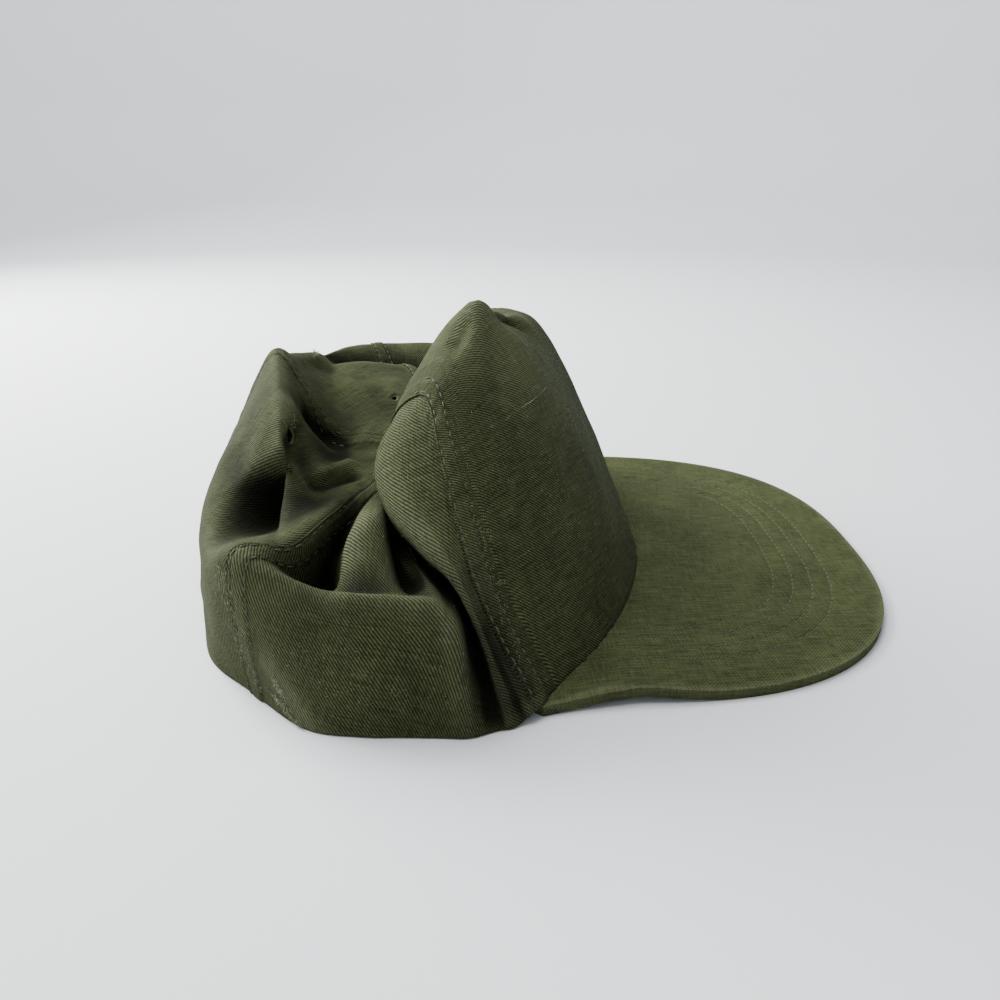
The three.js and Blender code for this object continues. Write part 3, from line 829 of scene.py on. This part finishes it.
# Eyelets
# Air holes in the crown, each worked round with buttonhole stitch: close threads that wrap the edge.
# Each one's panel, its place as section and station, and the radius of its ring
EYELETS = {
    "right_eyelet": ("right_back_panel", 15.3, 3.75, 2.9),
    "left_eyelet": ("left_back_panel", 19.4, 5.75, 1.7),
}
EYELET_THREAD = 0.85
EYELET_TURNS = 30
EYELET_LEAST = 0.8
EYELET_SWELL = 0.26
EYELET_UNEVEN = 0.14
EYELET_FLATNESS = 0.45
HOLE_TUCK = 0.2
PUNCH_DEPTH = 9
EYELET_COLOUR = (0.15, 0.155, 0.08, 1)
eyelet_thread = thread_material("eyelet_thread", EYELET_COLOUR)
for eyelet_name, (panel_name, section, station, ring_radius) in EYELETS.items():
    where = (np.array([section]), np.array([station]))
    normal = Vector(shell_normal(shell, *where)[0])
    place = Vector(shell(*where)[0]) - normal * (CLOTH / 2)
    turn = normal.to_track_quat("Z", "Y").to_matrix().to_4x4()
    stand = Matrix.Translation(place * MM) @ turn
    hole_radius = (ring_radius - HOLE_TUCK) * MM
    bpy.ops.mesh.primitive_cylinder_add(vertices=32, radius=hole_radius, depth=PUNCH_DEPTH * MM)
    punch = bpy.context.object
    punch.matrix_world = stand
    bpy.ops.object.select_all(action="DESELECT")
    panel = panels[panel_name]
    bpy.context.view_layer.objects.active = panel
    hole = panel.modifiers.new("hole", "BOOLEAN")
    hole.operation = "DIFFERENCE"
    hole.object = punch
    bpy.ops.object.modifier_apply(modifier=hole.name)
    bpy.data.objects.remove(punch)
    bpy.ops.mesh.primitive_torus_add(
        major_segments=EYELET_TURNS * 6, minor_segments=10,
        major_radius=ring_radius * MM, minor_radius=EYELET_THREAD * MM,
    )
    ring = bpy.context.object
    ring.name = eyelet_name + "_thread"
    for vertex in ring.data.vertices:
        angle = math.atan2(vertex.co.y, vertex.co.x)
        spoke = Vector((math.cos(angle), math.sin(angle), 0)) * ring_radius * MM
        swell = EYELET_LEAST + EYELET_SWELL * abs(math.sin(angle * EYELET_TURNS / 2))
        swell += EYELET_UNEVEN * noise.noise(Vector((math.cos(angle), math.sin(angle), 0.3)) * 5)
        reach = (vertex.co - spoke) * swell
        reach.z *= EYELET_FLATNESS
        vertex.co = spoke + reach
    ring.data.transform(stand)
    ring.matrix_world = Matrix.Identity(4)
    ring.data.shade_smooth()
    ring.data.materials.append(eyelet_thread)
    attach(ring, "root")
    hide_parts(eyelet_name)

# Peak
# A stiffener between two layers of twill, bagged out so that its edge is round. Its inner edge is sewn
# under the front panel, and by the wearer's right temple its near edge lifts a little off the floor.
PEAK_THICKNESS = 3
PEAK_ROOT_X = 20
PEAK_DEPTH = 101
PEAK_HALF_WIDTH = 94.4
PEAK_EDGE_POWER = 0.76
PEAK_HORN = (4, 100.5)
PEAK_MARGIN_X = 35
PEAK_MARGIN_Y = 96
PEAK_MARGIN_SWEEP = 38
PEAK_MARGIN_POWER = 1.8
PEAK_CELLS = (110, 260)
PEAK_ROUND = 1.35
PEAK_LIFT = 2.3
PEAK_LIFT_AT = (30, -94)
PEAK_LIFT_REACH = (17, 24)
PEAK_ROWS = (15.5, 21.7, 27.9, 34.1)
PEAK_ROW_DEPTH = 0.4
PEAK_ROW_WIDTH = 0.7
PEAK_RUMPLE_HEIGHT = 0.25
PEAK_RUMPLE_LENGTH = 23
PEAK_RUMPLE_START = (1, 6)
PEAK_EDGE_WEAR = 0.5
PEAK_EDGE_WEAR_REACH = 1.6
PEAK_ROW_WEAR = 0.12
PEAK_RIB_ANGLE = 51
PEAK_RIB_DEPTH = 0.35
HORN_START = 0.965
CROWDING = 1.35
SHARP_ANGLE = 50


def peak_edge(turn):
    """The outer edge: turn runs from -1 by the right temple to 1 by the left one."""
    angle = turn * (math.pi / 2)
    reach = np.maximum(np.cos(angle), 0) ** PEAK_EDGE_POWER
    side = np.sign(angle) * np.abs(np.sin(angle)) ** PEAK_EDGE_POWER
    return np.stack([PEAK_ROOT_X + PEAK_DEPTH * reach, PEAK_HALF_WIDTH * side], -1)


def peak_margin(turn):
    x = PEAK_MARGIN_X - PEAK_MARGIN_SWEEP * np.abs(turn) ** PEAK_MARGIN_POWER
    return np.stack([x, PEAK_MARGIN_Y * turn], -1)


edge_line = np.concatenate([
    [(PEAK_HORN[0], -PEAK_HORN[1])], peak_edge(np.linspace(-1, 1, 400)), [PEAK_HORN]])


def inset_of(points):
    """The distance of each point of the peak from its outer edge."""
    starts, ends = edge_line[:-1], edge_line[1:]
    lines = ends - starts
    sizes = np.maximum((lines ** 2).sum(1), 1e-9)
    nearest = np.full(len(points), 1e9)
    for k in range(len(starts)):
        share = np.clip((points - starts[k]) @ lines[k] / sizes[k], 0, 1)
        gap = np.linalg.norm(points - starts[k] - share[:, None] * lines[k], axis=1)
        nearest = np.minimum(nearest, gap)
    return nearest


def peak_lift(points):
    away = (points - PEAK_LIFT_AT) / PEAK_LIFT_REACH
    return PEAK_LIFT * np.exp(-(away ** 2).sum(1))


bpy.ops.mesh.primitive_grid_add(x_subdivisions=PEAK_CELLS[0], y_subdivisions=PEAK_CELLS[1], size=2)
peak = bpy.context.object
peak.name = "peak_twill"
square = np.array([vertex.co for vertex in peak.data.vertices])
across_share = (square[:, 0] + 1) / 2
turns = square[:, 1]
outer = peak_edge(turns)
blend_to_horn = smooth_step(HORN_START, 1, np.abs(turns))[:, None]
horns = np.stack([np.full_like(turns, PEAK_HORN[0]), np.sign(turns) * PEAK_HORN[1]], 1)
outer = outer * (1 - blend_to_horn) + horns * blend_to_horn
crowded = (1 - (1 - across_share) ** CROWDING)[:, None]
flat = peak_margin(turns) * (1 - crowded) + outer * crowded
for vertex, (x, y) in zip(peak.data.vertices, flat):
    vertex.co = (x * MM, y * MM, PEAK_THICKNESS * MM)
thick = peak.modifiers.new("thickness", "SOLIDIFY")
thick.thickness = PEAK_THICKNESS * MM
thick.offset = -1
bpy.ops.object.modifier_apply(modifier=thick.name)
rounding = peak.modifiers.new("round edge", "BEVEL")
rounding.width = PEAK_ROUND * MM
rounding.segments = 5
rounding.limit_method = "ANGLE"
rounding.angle_limit = math.radians(SHARP_ANGLE)
bpy.ops.object.modifier_apply(modifier=rounding.name)
solid = np.array([vertex.co for vertex in peak.data.vertices]) / MM
inset = inset_of(solid[:, :2])
depth_below_top = PEAK_THICKNESS - solid[:, 2]
on_top = smooth_step(PEAK_THICKNESS / 2, PEAK_THICKNESS, solid[:, 2])
dip = sum(PEAK_ROW_DEPTH * np.exp(-(((inset - row) / PEAK_ROW_WIDTH) ** 2)) for row in PEAK_ROWS)
waver = np.array([noise.noise(Vector(p) / PEAK_RUMPLE_LENGTH) for p in solid])
rumples = PEAK_RUMPLE_HEIGHT * waver * smooth_step(*PEAK_RUMPLE_START, inset)
solid[:, 2] += peak_lift(solid[:, :2]) - on_top * dip + on_top * rumples
peak.data.vertices.foreach_set("co", (solid * MM).astype(np.float32).ravel())
rubbed_edge = np.exp(-((inset / PEAK_EDGE_WEAR_REACH) ** 2)) * on_top
set_attribute(peak.data, "wear_and_painted_light", PEAK_EDGE_WEAR * rubbed_edge + PEAK_ROW_WEAR * dip)
round_the_edge = unit(solid[:, :2] - (PEAK_ROOT_X, 0)) * depth_below_top[:, None]
peak_place = (solid[:, :2] + round_the_edge * (inset < PEAK_THICKNESS)[:, None]) * MM
for old_map in list(peak.data.uv_layers):
    peak.data.uv_layers.remove(old_map)
set_cloth_map(peak.data, peak_place)
peak.data.update()
peak.data.shade_smooth()
peak.data.materials.append(twill_material("peak_twill", PEAK_RIB_ANGLE, PEAK_RIB_DEPTH))
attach(peak, "root")
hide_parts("peak")

# Peak stitches
# Four rows of stitches follow the peak's edge and hold its layers together.
LAST_TURN = 0.985
MARGIN_TUCK = 2
peak_rows = []
turn = np.linspace(-LAST_TURN, LAST_TURN, 700)
edge_points = peak_edge(turn)
tangent = unit(np.gradient(edge_points, axis=0))
inwards = np.stack([-tangent[:, 1], tangent[:, 0]], 1)
for row in PEAK_ROWS:
    line = edge_points + inwards * row
    line = line[line[:, 0] > peak_margin(line[:, 1] / PEAK_MARGIN_Y)[:, 0] + MARGIN_TUCK]
    waver = np.array([noise.noise(Vector((x, y, PEAK_THICKNESS)) / PEAK_RUMPLE_LENGTH) for x, y in line])
    height = PEAK_THICKNESS + peak_lift(line) - PEAK_ROW_DEPTH + PEAK_RUMPLE_HEIGHT * waver
    height += THREAD_RADIUS / 2
    points = np.concatenate([line, height[:, None]], 1)
    normals = np.tile([0.0, 0.0, 1.0], (len(points), 1))
    peak_rows.append((points, normals))
stitch_piece("peak_stitches", peak_rows)

# Worn threads
# Fine broken fibres stand out of the worn cloth. They are thickest where the hem has rubbed at the rear
# corner, and a tuft stands on the rear rim. One thicker thread shows in the front panel's weave.
WORN_COLOUR = (0.27, 0.28, 0.18, 1)
# What is worn, from, to, spread, how many fibres, their length, their radius and how far they stand up
WORN_THREADS = [
    ("rubbed hem", (-67, -103, 12), (-64, -105, 8), 0.9, 50, 1.3, 0.06, 0.4),
    ("rubbed edge", (-67, -103, 6), (-59, -108, 0.5), 1.1, 110, 1.3, 0.055, 0.4),
    ("tuft on the rim", (-82, 38, 66), (-80, 40, 66), 0.8, 40, 2.6, 0.08, 4),
    ("right eyelet", (-75, -46, 59), (-71, -38, 62), 1.0, 14, 2.2, 0.05, 0.8),
    ("rear right seam", (-78, -92, 40), (-72, -95, 6), 3.0, 90, 1.2, 0.04, 0.4),
    ("front right seam", (-30, -58, 74), (-2, -100, 12), 3.0, 120, 1.1, 0.04, 0.4),
    ("near wall", (-60, -106, 18), (-20, -107, 18), 16.0, 110, 0.9, 0.04, 0.4),
    ("front", (-12, -45, 62), (16, -50, 40), 26.0, 150, 0.9, 0.04, 0.4),
    ("side fold", (-38, -62, 60), (-24, -86, 44), 12.0, 70, 0.9, 0.04, 0.4),
]
THICK_THREAD = ((-14.4, -50, 61.7), (-0.3, -33, 68.7))
THICK_THREAD_RADIUS = 0.2
THICK_THREAD_COLOUR = (0.17, 0.185, 0.09, 1)
THICK_THREAD_LIFT = 0.12
CORNERS_OF_A_STRAND = (0, 2.094, 4.189)
THIN_END = 0.35
FIBRE_POINTS = 5
FIBRE_LIFT = 0.05
FIBRE_DROOP = 0.3
NET_SECTIONS = 0.06
NET_STATIONS = 0.04
NET_END = 6
rng = np.random.default_rng(23)
net_across = np.arange(0, len(SECTIONS), NET_SECTIONS)
net_u, net_v = np.meshgrid(net_across, np.arange(0, NET_END, NET_STATIONS), indexing="ij")
net = shell(net_u.ravel(), net_v.ravel())
net_normals = shell_normal(shell, net_u.ravel(), net_v.ravel())


def on_the_cloth(point):
    """The nearest place on the crown's outer face and the way out from there."""
    nearest = np.argmin(((net - point) ** 2).sum(1))
    normal = net_normals[nearest]
    return point - normal * ((point - net[nearest]) @ normal), normal


def strand(points, normals, radius):
    """A three-sided thread along a line of points, thin at both ends."""
    run = unit(np.gradient(points, axis=0))
    side = unit(np.cross(normals, run))
    up = np.cross(run, side)
    share = np.linspace(0, 1, len(points))
    thick = (radius * (THIN_END + (1 - THIN_END) * np.sin(math.pi * share)))[:, None]
    corners = ((math.cos(turn), math.sin(turn)) for turn in CORNERS_OF_A_STRAND)
    rings = [points + thick * (high * up + aside * side) for high, aside in corners]
    vertices = np.stack(rings, 1).reshape(-1, 3)
    faces = []
    for k in range(len(points) - 1):
        for a, b in ((0, 1), (1, 2), (2, 0)):
            faces.append((3 * k + a, 3 * k + b, 3 * k + 3 + b, 3 * k + 3 + a))
    last = 3 * len(points) - 3
    faces += [(2, 1, 0), (last, last + 1, last + 2)]
    return vertices, faces


def thread_piece(name, strands, colour):
    """Threads as one piece, each given as its points, the ways out of the cloth and its radius."""
    vertices = []
    faces = []
    for points, normals, radius in strands:
        start = sum(len(part) for part in vertices)
        more, sides = strand(points, normals, radius)
        vertices.append(more)
        faces += [tuple(start + k for k in side) for side in sides]
    piece = new_piece(name, np.concatenate(vertices), faces, thread_material(name, colour))
    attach(piece, "root")


fibres = []
for _, start, end, spread, count, length, radius, rise in WORN_THREADS:
    for _ in range(count):
        aim = np.array(start) + rng.random() * np.subtract(end, start) + rng.normal(0, spread / 2, 3)
        foot, normal = on_the_cloth(aim)
        way = unit(np.cross(normal, rng.normal(0, 1, 3)) + normal * rng.uniform(0.1, 1.6) * rise)
        reach = length * rng.uniform(0.5, 1.3)
        bend = np.cross(normal, way) * rng.uniform(-0.5, 0.5)
        steps = np.linspace(0, 1, FIBRE_POINTS)[:, None]
        line = foot + normal * (LAP_HEIGHT + FIBRE_LIFT) + reach * (steps * way + steps ** 2 * bend)
        line = line - normal * reach * FIBRE_DROOP * steps ** 2
        line[:, 2] = np.maximum(line[:, 2], FLOOR_CLEARANCE)
        fibres.append((line, np.tile(normal, (FIBRE_POINTS, 1)), radius))
thread_piece("loose_fibres", fibres, WORN_COLOUR)
places = [on_the_cloth(point) for point in np.linspace(*THICK_THREAD, 30)]
thick_line = np.array([foot + normal * THICK_THREAD_LIFT for foot, normal in places])
thick_normals = np.array([normal for _, normal in places])
thread_piece("thick_thread", [(thick_line, thick_normals, THICK_THREAD_RADIUS)], THICK_THREAD_COLOUR)
